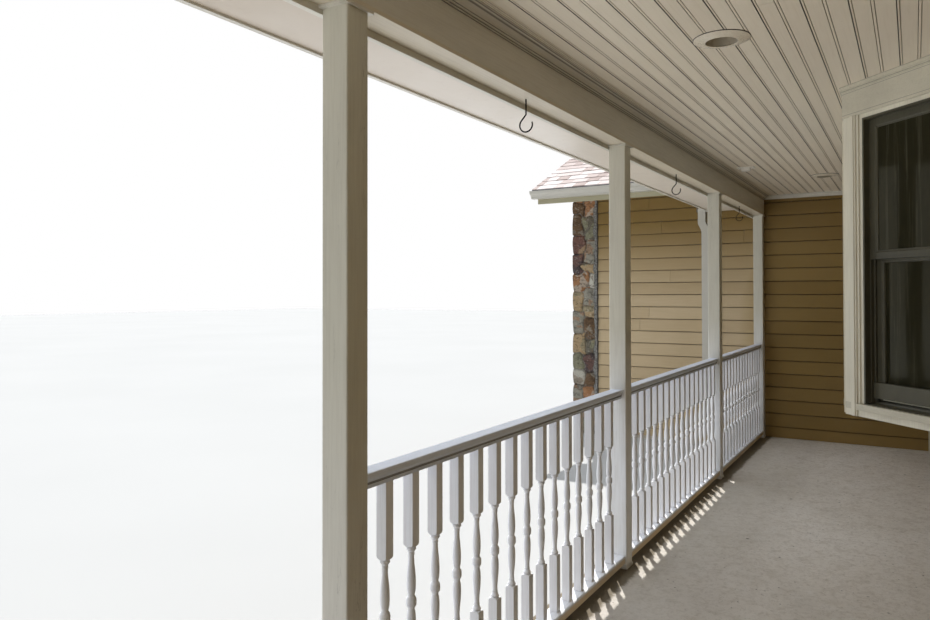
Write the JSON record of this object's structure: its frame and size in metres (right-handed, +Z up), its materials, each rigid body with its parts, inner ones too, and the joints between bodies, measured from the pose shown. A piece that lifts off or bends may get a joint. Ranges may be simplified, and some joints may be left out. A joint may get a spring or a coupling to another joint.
{
  "type": "front porch of a house",
  "caption": "Covered front porch with square posts, turned balusters, boarded ceiling, bay window, lap siding and a stone corner.",
  "frame": {"origin": "middle of the floor slab's underside, at ground level", "axes": "+X along the porch away from the end wall, -Y to the yard, +Z up"},
  "size_m": [9.29, 3.922, 3.4028],
  "materials": {
    "concrete": "worn broom finish",
    "white_paint": "satin white paint on wood",
    "ceiling_boards": "white painted beaded boards",
    "soffit_panel": "white panel",
    "white_metal": "white baked enamel",
    "lamp": "frosted lens",
    "white_rail": "white vinyl",
    "black_wire": "black",
    "roof_wood": "bare sheathing",
    "shingles": "mineral granules",
    "tan_siding": "embossed lap siding",
    "wall_core": "plain wall board",
    "sash": "dark frame and screen",
    "glass": "clear",
    "stone_veneer": "rough split stone"
  },
  "bodies": {
    "root": {"slab": "concrete", "post_1": "white_paint", "post_2": "white_paint", "post_3": "white_paint", "post_4": "white_paint", "post_5": "white_paint", "post_shoes": "white_paint", "post_caps": "white_paint", "beam_core": "white_paint", "beam_inner_board": "white_paint", "beam_under_board": "white_paint", "beam_outer_board": "white_paint", "end_beam": "white_paint", "crown_moulding": "white_paint", "wall_moulding": "white_paint", "gable_panel": "white_paint", "rake_board": "white_paint", "fascia": "white_paint", "wing_fascia": "white_paint", "wing_ends": "white_paint", "corner_board": "white_paint", "bay_floor": "white_paint", "bay_wall_near": "white_paint", "bay_wall_front": "white_paint", "bay_wall_far": "white_paint", "bay_frieze": "white_paint", "bay_sill": "white_paint", "bay_casings": "white_paint", "ceiling": "ceiling_boards", "soffit": "soffit_panel", "wing_soffit": "soffit_panel", "gutter": "white_metal", "downspout": "white_metal", "wing_gutter": "white_metal", "downlight_trims": "white_metal", "ceiling_fixture": "white_metal", "downlight_lamps": "lamp", "top_rails": "white_rail", "bottom_rails": "white_rail", "balusters_near": "white_rail", "balusters_middle": "white_rail", "balusters_far": "white_rail", "end_rails": "white_rail", "end_balusters": "white_rail", "plant_hooks": "black_wire", "roof_deck": "roof_wood", "roof_shingles": "shingles", "wing_roof": "shingles", "house_siding": "tan_siding", "end_siding": "tan_siding", "house_wall": "wall_core", "end_wall": "wall_core", "bay_sashes": "sash", "bay_glass": "glass", "stone_corner": "stone_veneer"}
  },
  "joints": []
}
